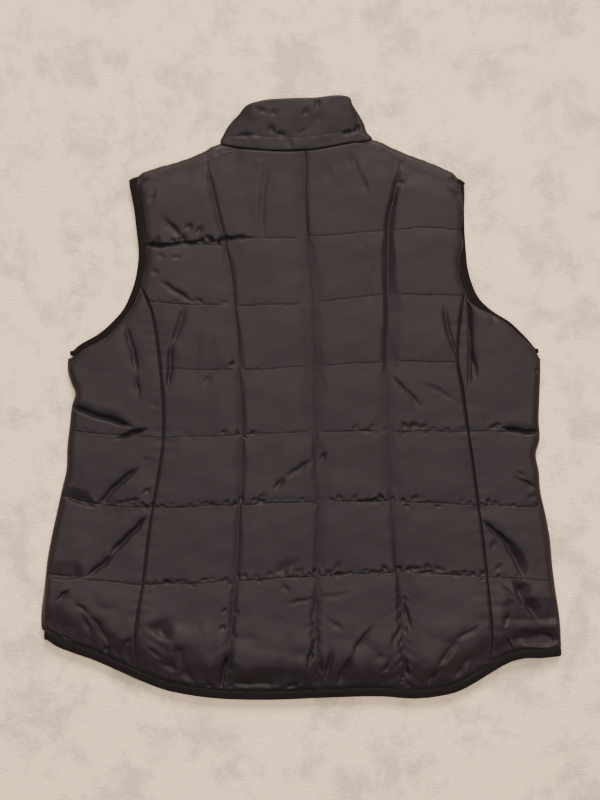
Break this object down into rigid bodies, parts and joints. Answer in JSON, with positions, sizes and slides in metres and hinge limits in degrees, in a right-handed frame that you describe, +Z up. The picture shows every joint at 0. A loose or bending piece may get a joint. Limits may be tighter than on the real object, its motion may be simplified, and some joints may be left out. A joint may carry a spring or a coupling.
{
  "type": "quilted vest",
  "caption": "Sleeveless quilted vest with a stand collar, princess seams, bound armholes and hem and a front zip, closed and laid flat with its back up",
  "frame": {"origin": "on the surface it lies on, under the middle of its outline", "axes": "+Z up from the surface, +Y to the collar, +X to the right of the back as it is seen from above"},
  "size_m": [0.6191, 0.719, 0.0172],
  "materials": {
    "shell": "matt black-brown woven polyester with a soft sheen",
    "binding": "matt black knitted or woven binding",
    "zip_tape": "matt woven tape",
    "zip_teeth": "black moulded teeth",
    "zip_metal": "black enamelled metal"
  },
  "bodies": {
    "vest": {"back_centre": "shell", "back_side_left": "shell", "back_side_right": "shell", "front_left": "shell", "front_right": "shell", "collar": "shell", "armhole_binding_left": "binding", "armhole_binding_right": "binding", "hem_binding": "binding", "zip_tape_left": "zip_tape", "zip_tape_right": "zip_tape", "zip_chain": "zip_teeth", "zip_slider": "zip_metal"},
    "pull_tab": {"zip_pull": "zip_metal"}
  },
  "joints": [
    {"name": "pull_tab_hinge", "type": "hinge", "parent": "vest", "child": "pull_tab", "pos_m": [0, 0.286, 0.00145], "axis": [1, 0, 0], "range_deg": [0, 180]}
  ]
}
